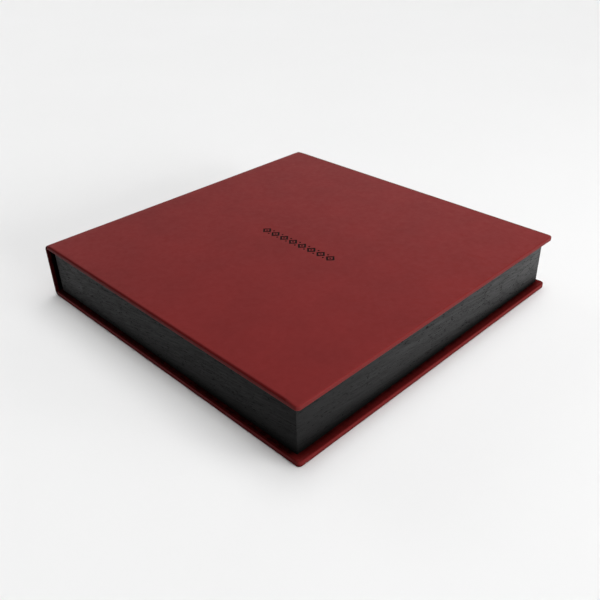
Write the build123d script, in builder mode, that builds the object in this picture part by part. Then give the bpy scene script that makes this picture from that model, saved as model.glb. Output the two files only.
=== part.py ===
from build123d import *
import math
import os

os.makedirs("parts", exist_ok=True)

# Album box: two leather-wrapped covers and a spine, hinged on leather, round a wooden tray
# Millimetres. The origin is at the middle of the underside, +X points to the fore-edge,
# the spine stands at -X, the tail side is -Y and +Z is up.

# The album that the tray holds
album_length = 305.0  # along X
album_width = 305.0  # along Y
album_thickness = 38.0
album_clearance = 3.0  # free space on each side of the album
album_headroom = 3.0  # free space between the album and the closed lid

# Wooden tray
wall_thickness = 8.0
floor_thickness = 4.0
rabbet_depth = 4.0  # how far the floor panel is let into each wall
rim_radius = 0.6  # soft edges of the rim
tongue_length = 5.0  # across each mitre, half of it in either wall
tongue_thickness = 1.5
tongue_stop = 8.0  # solid wood left above each tongue, so that it does not show in the rim
glue_gap = 0.05  # all round each tongue and magnet

# Soft lining inside the tray
lining_thickness = 1.0
lining_drop = 3.0  # bare wood between the wall lining and the rim

# Case: boards wrapped in leather
leather_thickness = 0.7
lid_board_thickness = 3.0
spine_board_thickness = 3.0
base_board_thickness = 4.0
fore_edge_overhang = 6.8  # covers beyond the tray at the opening side
side_overhang = 5.0  # covers beyond the tray at head and tail
spine_gap = 3.2  # free space between the spine and the tray
turn_in = 16.0  # leather folded over each edge onto the inner face
corner_radius = 3.0  # folded leather corners in plan
least_corner_radius = 0.5  # of a board, where the leather is thick
arris_radius = 1.2  # wrapped edges in section
mitre_slit = 0.3  # open line between the two turn-ins that meet at a corner
board_gap = 0.4  # between the end of a cover and the inner face of the spine
joint_cloth_thickness = 0.5  # hinge cloth glued behind the leather of each joint
joint_edge_land = 0.1  # left of the thickness of each joint beside its rounded arris

# Lift ribbon
ribbon_width = 18.0
ribbon_thickness = 0.5
ribbon_rise = 30.0  # height of its tail, which leans on the fore-edge wall
ribbon_bend_radius = 2.8  # to the middle of its thickness

# Magnets of the catch
magnet_spacing = 160.0  # between the two pairs, along Y
rim_magnet_diameter = 5.0
rim_magnet_height = 3.0
lid_magnet_diameter = 10.0
lid_magnet_height = 2.0

# Sizes that follow
lid_thickness = lid_board_thickness + 2 * leather_thickness
spine_thickness = spine_board_thickness + 2 * leather_thickness
base_thickness = base_board_thickness + 2 * leather_thickness
well_length = album_length + 2 * (album_clearance + lining_thickness)
well_width = album_width + 2 * (album_clearance + lining_thickness)
tray_length = well_length + 2 * wall_thickness
tray_width = well_width + 2 * wall_thickness
tray_height = floor_thickness + lining_thickness + album_thickness + album_headroom
cover_length = spine_thickness + spine_gap + tray_length + fore_edge_overhang
cover_width = tray_width + 2 * side_overhang
box_height = base_thickness + tray_height + lid_thickness

# Places that follow
spine_x = -cover_length / 2  # outer face of the spine
fore_edge_x = cover_length / 2
tray_back_x = spine_x + spine_thickness + spine_gap
tray_front_x = tray_back_x + tray_length
tray_middle_x = (tray_back_x + tray_front_x) / 2
rim_z = base_thickness + tray_height  # rim of the tray and underside of the closed lid
floor_top_z = base_thickness + floor_thickness
well_bottom_z = floor_top_z + lining_thickness
magnet_x = tray_front_x - wall_thickness / 2

# Leather joints: each bends round a quarter circle between the ends of two boards
# The leather keeps its length when the case lies open and flat, which places the pivot
joint_radius = spine_thickness + board_gap
joint_inset = joint_radius * (1 - math.pi / 4)  # pivot, in from both outer faces
joint_thickness = leather_thickness + joint_cloth_thickness
hinge_x = spine_x + joint_radius  # where both covers end
spine_bottom_z = joint_radius
spine_top_z = box_height - joint_radius
hinge_middle_x = (hinge_x + fore_edge_x) / 2
panel_length = fore_edge_x - hinge_x


def cover_face(inset, radius):
    """Plan of a cover, square at the hinge and rounded at the fore-edge, drawn where it is called"""
    with BuildSketch(mode=Mode.PRIVATE) as face:
        with Locations((hinge_middle_x - inset / 2, 0)):
            Rectangle(panel_length - inset, cover_width - 2 * inset)
        fillet(face.vertices().group_by(Axis.X)[-1], radius)
    add(face.sketch)


def wrapped_edges(part):
    """The edges round both faces of a cover, without those of its hinge end"""
    end_edges = part.faces().sort_by(Axis.X)[0].edges()
    flat_faces = part.faces().filter_by(Axis.Z)
    return ShapeList(e for e in flat_faces.edges() if e not in end_edges)


def mitre_slits():
    """The two slits from near the corners of a cover to its pasted sheet, drawn where it is called"""
    outer_inset = corner_radius
    inner_inset = turn_in + mitre_slit
    middle_inset = (outer_inset + inner_inset) / 2
    slit_length = (inner_inset - outer_inset) * math.sqrt(2)
    for side in (-1, 1):
        with Locations((fore_edge_x - middle_inset, side * (cover_width / 2 - middle_inset))):
            Rectangle(slit_length, mitre_slit, rotation=side * 45)


def pasted_face():
    """Plan of the sheet pasted on a cover, from the hinge to the turn-ins, drawn where it is called"""
    with Locations((hinge_middle_x - turn_in / 2, 0)):
        Rectangle(panel_length - turn_in, cover_width - 2 * turn_in)


# Lid: board, leather, pasted lining and the two magnets in the board
lid_board_z = rim_z + leather_thickness
board_corner_radius = max(corner_radius - leather_thickness, least_corner_radius)

with BuildPart() as lid_board:
    with BuildSketch(Plane.XY.offset(lid_board_z)):
        cover_face(leather_thickness, board_corner_radius)
    extrude(amount=lid_board_thickness)
    with Locations(
        (magnet_x, -magnet_spacing / 2, lid_board_z + lid_magnet_height / 2),
        (magnet_x, magnet_spacing / 2, lid_board_z + lid_magnet_height / 2),
    ):
        Cylinder(lid_magnet_diameter / 2 + glue_gap, lid_magnet_height, mode=Mode.SUBTRACT)
lid_board.part.label = "lid_board"
export_step(lid_board.part, "parts/lid_board.step")

with BuildPart() as lid_leather:
    with BuildSketch(Plane.XY.offset(rim_z)):
        cover_face(0, corner_radius)
    extrude(amount=lid_thickness)
    fillet(wrapped_edges(lid_leather), arris_radius)
    with BuildSketch(Plane.XY.offset(lid_board_z)):
        cover_face(leather_thickness, board_corner_radius)
    extrude(amount=lid_board_thickness, mode=Mode.SUBTRACT)
    with BuildSketch(Plane.XY.offset(rim_z)):
        pasted_face()
        mitre_slits()
    extrude(amount=leather_thickness, mode=Mode.SUBTRACT)
lid_leather.part.label = "lid_leather"
export_step(lid_leather.part, "parts/lid_leather.step")

with BuildPart() as lid_lining:
    with BuildSketch(Plane.XY.offset(rim_z)):
        pasted_face()
    extrude(amount=leather_thickness)
lid_lining.part.label = "lid_lining"
export_step(lid_lining.part, "parts/lid_lining.step")

with BuildPart() as lid_magnets:
    with Locations(
        (magnet_x, -magnet_spacing / 2, lid_board_z + lid_magnet_height / 2),
        (magnet_x, magnet_spacing / 2, lid_board_z + lid_magnet_height / 2),
    ):
        Cylinder(lid_magnet_diameter / 2, lid_magnet_height)
lid_magnets.part.label = "lid_magnets"
export_step(lid_magnets.part, "parts/lid_magnets.step")

# Spine: board, leather turned in at head and tail, pasted lining
spine_height = spine_top_z - spine_bottom_z
spine_middle_x = spine_x + spine_thickness / 2
spine_lining_x = spine_x + spine_thickness - leather_thickness / 2

with BuildPart() as spine_board:
    with BuildSketch(Plane.XY.offset(spine_bottom_z)):
        with Locations((spine_middle_x, 0)):
            Rectangle(spine_board_thickness, cover_width - 2 * leather_thickness)
    extrude(amount=spine_height)
spine_board.part.label = "spine_board"
export_step(spine_board.part, "parts/spine_board.step")

with BuildPart() as spine_lining:
    with BuildSketch(Plane.XY.offset(spine_bottom_z)):
        with Locations((spine_lining_x, 0)):
            Rectangle(leather_thickness, cover_width - 2 * turn_in)
    extrude(amount=spine_height)
spine_lining.part.label = "spine_lining"
export_step(spine_lining.part, "parts/spine_lining.step")

with BuildPart() as spine_leather:
    with BuildSketch(Plane.XY.offset(spine_bottom_z)) as spine_plan:
        with Locations((spine_middle_x, 0)):
            Rectangle(spine_thickness, cover_width)
        fillet(spine_plan.vertices(), arris_radius)
        with Locations((spine_middle_x, 0)):
            Rectangle(
                spine_board_thickness,
                cover_width - 2 * leather_thickness,
                mode=Mode.SUBTRACT,
            )
        with Locations((spine_lining_x, 0)):
            Rectangle(leather_thickness, cover_width - 2 * turn_in, mode=Mode.SUBTRACT)
    extrude(amount=spine_height)
spine_leather.part.label = "spine_leather"
export_step(spine_leather.part, "parts/spine_leather.step")

# Bottom cover: board, leather and pasted lining, turned in on top round the tray
base_lining_z = base_thickness - leather_thickness

with BuildPart() as base_board:
    with BuildSketch(Plane.XY.offset(leather_thickness)):
        cover_face(leather_thickness, board_corner_radius)
    extrude(amount=base_board_thickness)
base_board.part.label = "base_board"
export_step(base_board.part, "parts/base_board.step")

with BuildPart() as base_leather:
    with BuildSketch(Plane.XY):
        cover_face(0, corner_radius)
    extrude(amount=base_thickness)
    fillet(wrapped_edges(base_leather), arris_radius)
    with BuildSketch(Plane.XY.offset(leather_thickness)):
        cover_face(leather_thickness, board_corner_radius)
    extrude(amount=base_board_thickness, mode=Mode.SUBTRACT)
    with BuildSketch(Plane.XY.offset(base_lining_z)):
        pasted_face()
        mitre_slits()
    extrude(amount=leather_thickness, mode=Mode.SUBTRACT)
base_leather.part.label = "base_leather"
export_step(base_leather.part, "parts/base_leather.step")

with BuildPart() as base_lining:
    with BuildSketch(Plane.XY.offset(base_lining_z)):
        pasted_face()
    extrude(amount=leather_thickness)
base_lining.part.label = "base_lining"
export_step(base_lining.part, "parts/base_lining.step")

# Leather joints: a quarter ring each, from the end of a cover round to the end of the spine
joint_arris_radius = min(arris_radius, joint_thickness - joint_edge_land)
joints = (
    ("lid_joint_leather", spine_top_z, 90),
    ("base_joint_leather", spine_bottom_z, 180),
)
for joint_name, joint_centre_z, start_angle in joints:
    centre = (hinge_x, joint_centre_z)
    with BuildPart() as joint_leather:
        with BuildSketch(Plane.XZ):
            with BuildLine():
                outer_arc = CenterArc(centre, joint_radius, start_angle, 90)
                inner_arc = CenterArc(centre, joint_radius - joint_thickness, start_angle, 90)
                Line(outer_arc @ 0, inner_arc @ 0)
                Line(outer_arc @ 1, inner_arc @ 1)
            make_face()
        extrude(amount=cover_width / 2, both=True)
        arcs = joint_leather.edges().filter_by(GeomType.CIRCLE)
        fillet(arcs.group_by(SortBy.RADIUS)[-1], joint_arris_radius)
    joint_leather.part.label = joint_name
    export_step(joint_leather.part, f"parts/{joint_name}.step")


def plan_corners(inset):
    """Corners of the tray in plan, moved in by an inset, counter-clockwise from spine and tail"""
    back = tray_back_x + inset
    front = tray_front_x - inset
    half = tray_width / 2 - inset
    return [(back, -half), (front, -half), (front, half), (back, half)]


def ring_side(side, outer_inset, inner_inset):
    """Plan of one mitred side of a ring round the tray, drawn where it is called"""
    outer = plan_corners(outer_inset)
    inner = plan_corners(inner_inset)
    following = (side + 1) % len(outer)
    Polygon(outer[side], outer[following], inner[following], inner[side], align=None)


def tongue_plans(gap):
    """Plans of the four corner tongues, each set square across its mitre, drawn where it is called"""
    for x, y in plan_corners(wall_thickness / 2):
        across = -45 if (x - tray_middle_x) * y > 0 else 45
        with Locations((x, y)):
            Rectangle(tongue_length + 2 * gap, tongue_thickness + 2 * gap, rotation=across)


# Tray: four mitred walls on the bottom cover, with a rabbet for the floor and stopped grooves
tongue_height = tray_height - floor_thickness - tongue_stop
sides = ("tail", "fore_edge", "head", "spine")

for side, side_name in enumerate(sides):
    with BuildPart() as wall:
        with BuildSketch(Plane.XY.offset(base_thickness)):
            ring_side(side, 0, wall_thickness)
        extrude(amount=tray_height)
        rim = wall.faces().sort_by(Axis.Z)[-1]
        fillet(rim.edges().sort_by(SortBy.LENGTH)[-2:], rim_radius)
        with BuildSketch(Plane.XY.offset(base_thickness)):
            with Locations((tray_middle_x, 0)):
                Rectangle(well_length + 2 * rabbet_depth, well_width + 2 * rabbet_depth)
        extrude(amount=floor_thickness, mode=Mode.SUBTRACT)
        with BuildSketch(Plane.XY.offset(floor_top_z)):
            tongue_plans(glue_gap)
        extrude(amount=tongue_height + glue_gap, mode=Mode.SUBTRACT)
        if side_name == "fore_edge":
            with Locations(
                (magnet_x, -magnet_spacing / 2, rim_z),
                (magnet_x, magnet_spacing / 2, rim_z),
            ):
                Hole(rim_magnet_diameter / 2 + glue_gap, rim_magnet_height)
    wall.part.label = f"tray_{side_name}_wall"
    export_step(wall.part, f"parts/tray_{side_name}_wall.step")

    with BuildPart() as wall_lining:
        with BuildSketch(Plane.XY.offset(well_bottom_z)):
            ring_side(side, wall_thickness, wall_thickness + lining_thickness)
        extrude(amount=rim_z - lining_drop - well_bottom_z)
    wall_lining.part.label = f"{side_name}_wall_lining"
    export_step(wall_lining.part, f"parts/{side_name}_wall_lining.step")

with BuildPart() as corner_tongues:
    with BuildSketch(Plane.XY.offset(floor_top_z)):
        tongue_plans(0)
    extrude(amount=tongue_height)
corner_tongues.part.label = "corner_tongues"
export_step(corner_tongues.part, "parts/corner_tongues.step")

with BuildPart() as tray_floor:
    with BuildSketch(Plane.XY.offset(base_thickness)):
        with Locations((tray_middle_x, 0)):
            Rectangle(well_length + 2 * rabbet_depth, well_width + 2 * rabbet_depth)
    extrude(amount=floor_thickness)
tray_floor.part.label = "tray_floor"
export_step(tray_floor.part, "parts/tray_floor.step")

with BuildPart() as floor_lining:
    with BuildSketch(Plane.XY.offset(floor_top_z)):
        with Locations((tray_middle_x, 0)):
            Rectangle(well_length, well_width)
    extrude(amount=lining_thickness)
floor_lining.part.label = "floor_lining"
export_step(floor_lining.part, "parts/floor_lining.step")

with BuildPart() as rim_magnets:
    with Locations(
        (magnet_x, -magnet_spacing / 2, rim_z - rim_magnet_height / 2),
        (magnet_x, magnet_spacing / 2, rim_z - rim_magnet_height / 2),
    ):
        Cylinder(rim_magnet_diameter / 2, rim_magnet_height)
rim_magnets.part.label = "rim_magnets"
export_step(rim_magnets.part, "parts/rim_magnets.step")

# Lift ribbon: lies across the floor from the spine side, and its tail leans on the fore-edge wall
ribbon_start_x = tray_back_x + wall_thickness + lining_thickness
ribbon_bend_x = tray_front_x - wall_thickness - lining_thickness - ribbon_thickness / 2
ribbon_z = well_bottom_z + ribbon_thickness / 2
ribbon_top_z = well_bottom_z + ribbon_rise

with BuildPart() as lift_ribbon:
    with BuildSketch(Plane.XZ):
        with BuildLine():
            FilletPolyline(
                (ribbon_start_x, ribbon_z),
                (ribbon_bend_x, ribbon_z),
                (ribbon_bend_x, ribbon_top_z),
                radius=ribbon_bend_radius,
            )
        trace(line_width=ribbon_thickness)
    extrude(amount=ribbon_width / 2, both=True)
lift_ribbon.part.label = "lift_ribbon"
export_step(lift_ribbon.part, "parts/lift_ribbon.step")
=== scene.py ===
from math import atan, cos, floor, hypot, pi, radians, sin
import bmesh
import bpy
from mathutils import Matrix, Vector, geometry, noise


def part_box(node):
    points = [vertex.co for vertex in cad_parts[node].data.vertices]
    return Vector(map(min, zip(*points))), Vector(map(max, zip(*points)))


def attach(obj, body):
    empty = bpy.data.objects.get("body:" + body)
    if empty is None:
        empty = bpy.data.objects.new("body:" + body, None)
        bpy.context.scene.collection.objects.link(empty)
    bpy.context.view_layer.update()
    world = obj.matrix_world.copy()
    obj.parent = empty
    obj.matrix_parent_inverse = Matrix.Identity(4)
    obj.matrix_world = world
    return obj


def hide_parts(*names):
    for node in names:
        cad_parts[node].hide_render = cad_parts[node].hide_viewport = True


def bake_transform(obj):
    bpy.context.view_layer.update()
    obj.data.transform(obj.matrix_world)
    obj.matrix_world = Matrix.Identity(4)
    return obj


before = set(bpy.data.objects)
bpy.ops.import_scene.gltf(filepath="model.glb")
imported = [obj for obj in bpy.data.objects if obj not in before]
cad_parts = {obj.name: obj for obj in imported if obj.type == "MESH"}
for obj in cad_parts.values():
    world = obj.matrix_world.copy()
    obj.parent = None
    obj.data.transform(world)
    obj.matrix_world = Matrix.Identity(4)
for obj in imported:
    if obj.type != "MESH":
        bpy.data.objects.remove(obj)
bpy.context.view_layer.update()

# Album box: a leather-wrapped case round a black wooden tray
# Sizes are in millimetres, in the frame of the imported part, until a mesh is made
MM = 0.001


def node_box(node):
    """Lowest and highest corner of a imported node, in millimetres"""
    low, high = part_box(node)
    return low / MM, high / MM


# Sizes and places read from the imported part
lid_low, lid_high = node_box("lid_leather")
lid_sheet_low, lid_sheet_high = node_box("lid_lining")
base_low, base_high = node_box("base_leather")
spine_low, spine_high = node_box("spine_leather")
tail_low, tail_high = node_box("tray_tail_wall")
fore_low, fore_high = node_box("tray_fore_edge_wall")
floor_low, floor_high = node_box("floor_lining")
strip_low, strip_high = node_box("tail_wall_lining")
ribbon_low, ribbon_high = node_box("lift_ribbon")
magnet_low, magnet_high = node_box("rim_magnets")
panel_high = node_box("tray_floor")[1]

hinge_x = lid_low.x
front_x = lid_high.x
half_width = lid_high.y
spine_x = spine_low.x
lid_thickness = lid_high.z - lid_low.z
base_thickness = base_high.z - base_low.z
spine_thickness = spine_high.x - spine_low.x
spine_height = spine_high.z - spine_low.z
hide = lid_sheet_high.z - lid_sheet_low.z  # thickness of the leather
turn_in = front_x - lid_sheet_high.x
joint_radius = hinge_x - spine_x
wall_thickness = fore_high.x - fore_low.x

# Roundings that the boxes of the nodes do not tell
ARRIS = 1.2  # wrapped edges in section
PRESSED_ARRIS = 0.7  # the same round both undersides, pressed sharper
CORNER_RADIUS = 3.6  # wrapped corners in plan
LEAST_RADIUS = 0.35  # where the folded leather closes to a mitre
MITRE_SINK = 0.22  # how far a mitre lies below the turn-ins
JOINT_THICKNESS = 1.2  # leather and hinge cloth together
SPINE_TURN_IN = 2.5  # leather seen beside the cloth inside the spine
EASE_WIDTH = 7.0  # the skins fall away a little beside their edges
EASE_DEPTH = 0.16
HINGE_EASE = 0.5  # lid and spine fall away a little towards their joint
HINGE_WIDTH = 10.0
RIM_RADIUS = 0.6  # upper edges of the wooden walls
WALL_CORNER = 0.5  # rounded corner over each mitre of the tray

# Steps of the meshes
HINGE_STEPS = (0.0, 1.2, 2.6, 4.2, 6.2, 9.0)  # distances from a joint
SIDE_START = 12.0
SIDE_STEPS = 40  # along a cover, from there to a corner
FRONT_STEPS = 21  # along the fore-edge, from a corner to the middle
CORNER_STEPS = 8
GRID = 8.0  # between the inner points of a skin
ARC_STEPS = 6
JOINT_STEPS = 18
RIBBON_STEPS = 190


def lerp(a, b, t):
    return a + (b - a) * t


def smooth(t):
    t = min(max(t, 0.0), 1.0)
    return t * t * (3 - 2 * t)


def quarter(steps):
    """Angles of a quarter turn in steps"""
    return [radians(90 * k / steps) for k in range(steps + 1)]


def circle(x, y, radius, corners):
    turns = [2 * pi * k / corners for k in range(corners)]
    return [(x + radius * cos(t), y + radius * sin(t)) for t in turns]


def add_object(name, data):
    made = bpy.data.objects.new(name, data)
    bpy.context.scene.collection.objects.link(made)
    return made


class Shape:
    """Points and faces of one piece"""

    def __init__(self):
        self.points, self.rest, self.wear_and_painted_light = [], [], []
        self.faces, self.skins = [], []

    def point(self, x, y, z, wear_and_painted_light=0.0, rest=None):
        """Adds a point and gives its number; rest is its place for the textures"""
        self.points.append((x, y, z))
        self.rest.append(rest or (x, y, z))
        self.wear_and_painted_light.append(wear_and_painted_light)
        return len(self.points) - 1

    def face(self, corners, skin=0):
        self.faces.append(corners)
        self.skins.append(skin)

    def strip(self, first, second, skin=0, closed=False):
        """Quads between two rows of as many points"""
        pairs = list(zip(first, second))
        following = pairs[1:] + pairs[:1] if closed else pairs[1:]
        for (a, b), (c, d) in zip(pairs, following):
            self.face((a, c, d, b), skin)

    def loft(self, rows, closed=False, capped=False):
        """Strips between all rows and, where capped, a face over either end"""
        for first, second in zip(rows, rows[1:]):
            self.strip(first, second, closed=closed)
        if capped:
            self.face(rows[0])
            self.face(rows[-1][::-1])

    def use_shaded_skin(self, skin):
        """Gives another skin, the shaded copy of the leather, to those faces of the first that lie wholly in
        painted shade
        """
        for number, corners in enumerate(self.faces):
            if self.skins[number] == 0 and all(self.wear_and_painted_light[corner] < -0.3 for corner in corners):
                self.skins[number] = skin

    def fill(self, boundary, place, inner, loops=(), skin_at=None):
        """Triangles inside a boundary of point numbers; place turns a spot of the plan into a point"""
        numbers = list(boundary)
        flat = [Vector(self.points[number][:2]) for number in boundary]
        edges = [(k, (k + 1) % len(flat)) for k in range(len(flat))]
        for loop in loops:
            start = len(flat)
            flat += [Vector(spot) for spot in loop]
            edges += [(start + k, start + (k + 1) % len(loop)) for k in range(len(loop))]
        flat += [Vector(spot) for spot in inner]
        for spot in flat[len(boundary):]:
            numbers.append(self.point(*place(*spot)))
        found = geometry.delaunay_2d_cdt(flat, edges, [], 1, 1e-5)
        places, triangles, sources = found[0], found[2], found[3]
        for triangle in triangles:
            corners = [numbers[sources[k][0]] for k in triangle]
            middle = sum((places[k] for k in triangle), Vector((0, 0))) / len(triangle)
            self.face(corners, skin_at(*middle) if skin_at else 0)

    def piece(self, name, materials, sharp=42):
        """The finished object, smooth but for edges that turn by more than sharp degrees"""
        mesh = bpy.data.meshes.new(name)
        mesh.from_pydata([Vector(point) * MM for point in self.points], [], self.faces)
        for material in materials:
            mesh.materials.append(material)
        mesh.polygons.foreach_set("material_index", self.skins)
        rest = mesh.attributes.new("rest", "FLOAT_VECTOR", "POINT")
        rest.data.foreach_set("vector", [value for spot in self.rest for value in spot])
        # Per point: wear from 0 to 1, painted highlight above 1 and painted shade below 0
        wear_and_painted_light = mesh.attributes.new("wear_and_painted_light", "FLOAT", "POINT")
        wear_and_painted_light.data.foreach_set("value", self.wear_and_painted_light)
        work = bmesh.new()
        work.from_mesh(mesh)
        bmesh.ops.recalc_face_normals(work, faces=work.faces)
        work.to_mesh(mesh)
        work.free()
        mesh.shade_smooth()
        mesh.set_sharp_from_angle(angle=radians(sharp))
        return add_object(name, mesh)


class Maker:
    """Builds the nodes of one material or world with short calls"""

    def __init__(self, name, kind="materials", **shader):
        self.made = getattr(bpy.data, kind).new(name)
        self.made.use_nodes = True
        self.nodes = self.made.node_tree.nodes
        self.links = self.made.node_tree.links
        for key, value in shader.items():
            self.nodes["Principled BSDF"].inputs[key.replace("_", " ")].default_value = value

    def feed(self, socket, value):
        """Links a socket to another one, or gives it a number or colour"""
        if isinstance(value, bpy.types.NodeSocket):
            self.links.new(value, socket)
        else:
            socket.default_value = value

    def add(self, kind, inputs, **settings):
        node = self.nodes.new("ShaderNode" + kind)
        for key, value in settings.items():
            setattr(node, key, value)
        for key, value in inputs.items():
            self.feed(node.inputs[key], value)
        return node

    def rest(self):
        """Place on the piece at rest, so that a texture bends with its piece"""
        return self.add("Attribute", {}, attribute_name="rest").outputs["Vector"]

    def cad_place(self):
        """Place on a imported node"""
        place = self.add("TexCoord", {}).outputs["Object"]
        return self.stretch(place, [1 / MM] * 3)

    def stretch(self, place, scale):
        return self.add("Mapping", {"Vector": place, "Scale": scale}).outputs["Vector"]

    def noise(self, place, scale, detail=2, roughness=0.5, distortion=0):
        """Noise of one scale, or of a scale along, across and up"""
        if isinstance(scale, tuple):
            place, scale = self.stretch(place, scale), 1
        inputs = {"Vector": place, "Scale": scale, "Detail": detail, "Roughness": roughness}
        return self.add("TexNoise", {**inputs, "Distortion": distortion}).outputs["Fac"]

    def math(self, operation, a, b=0):
        return self.add("Math", {0: a, 1: b}, operation=operation).outputs[0]

    def times(self, a, b):
        return self.math("MULTIPLY", a, b)

    def sum(self, *terms):
        """Sum of terms; a pair stands for its two values multiplied"""
        total, *others = [self.times(*term) if isinstance(term, tuple) else term for term in terms]
        for value in others:
            total = self.math("ADD", total, value)
        return total

    def range(self, value, low, high, to_low=0, to_high=1):
        """Value from low..high to to_low..to_high, held within them"""
        inputs = {"Value": value, "From Min": low, "From Max": high, "To Min": to_low, "To Max": to_high}
        return self.add("MapRange", inputs, clamp=True).outputs["Result"]

    def mix(self, share, first, second):
        """Colour between two colours"""
        return self.add("Mix", {0: share, 6: first, 7: second}, data_type="RGBA").outputs[2]

    def parts(self, place):
        return self.add("SeparateXYZ", {"Vector": place}).outputs

    def joined(self, x, y, z):
        return self.add("CombineXYZ", {"X": x, "Y": y, "Z": z}).outputs["Vector"]

    def bump(self, height, depth, under=None):
        """Relief of a given depth, over another relief where one is given"""
        inputs = {"Height": height, "Distance": depth * MM}
        if under is not None:
            inputs["Normal"] = under
        return self.add("Bump", inputs).outputs["Normal"]

    def finish(self, colour, roughness, normal):
        for key, value in (("Base Color", colour), ("Roughness", roughness), ("Normal", normal)):
            self.feed(self.nodes["Principled BSDF"].inputs[key], value)
        return self.made


# In rest, each board of the tray starts a stride after the one before it
BOARD_STRIDE = 400.0
TAIL_END = 365.0  # the tail wall ends before this
FOOT_SHADE = 1.075  # painted shade, deepest at the foot of the walls and thinning out up to a height
FOOT_SHADE_TOP = 30.0
TAIL_GRAIN_RISE = 0.17  # the fibres run askew to the boards, by so much a length
OTHER_GRAIN_FALL = 0.1
RING_WIDTH = 5.5  # from one year of the wood to the next
THREAD_PITCH = 0.45
RIB_PITCH = 0.55
PLY_PITCH = 2.6  # two plies


def leather_material(name, specular):
    """Smooth dyed leather: fine pebbles, clouds in the dye, burnished edges; painted shade where it meets
    the tray and on head and tail edges, painted light towards the fore-edge and head, and a painted
    highlight on the lid's fore-edge side
    """
    m = Maker(name, Specular_IOR_Level=specular)
    place = m.rest()
    clouds = m.noise(place, 0.022, 3, 0.55)
    mottle = m.noise(place, 0.19, 4, 0.6)
    wander = m.noise(place, 0.6)
    bent = m.add("VectorMath", {0: place, 1: m.joined(wander, wander, wander)}, operation="ADD")
    cells = {"Vector": bent.outputs[0], "Scale": 1.15}
    pebbles = m.add("TexVoronoi", cells, feature="SMOOTH_F1").outputs["Distance"]
    pores = m.noise(place, 3.1, 3, 0.65)
    wear_and_painted_light = m.add("Attribute", {}, attribute_name="wear_and_painted_light").outputs["Fac"]
    # Painted shade: the leather turns near black, and rougher, where the point value is below zero (beside
    # the tray, at the foot, on head and tail edges)
    painted_shade_mask = m.times(m.range(wear_and_painted_light, -1, 0, 1, 0), m.range(mottle, 0.35, 0.65, 0.86, 1.1))
    across, along = m.parts(place)[:2]
    # Painted light: the leather lighter towards the fore-edge and head, darker towards the tail and spine
    painted_light_gradient = m.range(m.sum(across, along), -330, 330, -0.36, 0.3)
    tone = m.sum((clouds, 0.9), (mottle, 0.5), (pores, 0.25), painted_light_gradient)
    dye_and_painted_light = m.mix(m.range(tone, 0.35, 1.3), (0.126, 0.0094, 0.0092, 1), (0.179, 0.0134, 0.0130, 1))
    burnished = m.mix(m.range(wear_and_painted_light, 0, 1, 0, 0.5), dye_and_painted_light, (0.155, 0.0105, 0.0100, 1))
    # Painted highlight: lighter colour where the point value runs above 1, on the lid's fore-edge side
    lightened = m.mix(m.range(wear_and_painted_light, 1, 2), burnished, (0.178, 0.0200, 0.0195, 1))
    colour = m.mix(painted_shade_mask, lightened, (0.008, 0.0001, 0.0001, 1))
    gloss = m.range(m.sum((mottle, 0.7), (pores, 0.3)), 0.3, 0.7, 0.62, 0.5)
    roughness = m.sum(gloss, m.range(wear_and_painted_light, -1, 0, 0.35, 0), m.range(wear_and_painted_light, 0, 1, 0, -0.03))
    relief = m.sum((pebbles, 0.8), (pores, 0.35))
    soft = m.bump(m.noise(place, 0.1, 3), 0.25)
    return m.finish(colour, roughness, m.bump(relief, 0.035, soft))


def foil_material():
    """Black foil pressed into the leather, with the grain just showing through"""
    m = Maker("stamped_foil", Specular_IOR_Level=0.02)
    place = m.rest()
    grain = m.noise(place, 2.2, 3, 0.6)
    lightened = m.noise(place, 0.9, 4, 0.7)
    colour = m.mix(m.range(lightened, 0.55, 0.8), (0.003, 0.0024, 0.0024, 1), (0.008, 0.0034, 0.0034, 1))
    return m.finish(colour, m.range(grain, 0.3, 0.7, 0.5, 0.65), m.bump(grain, 0.03))


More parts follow.
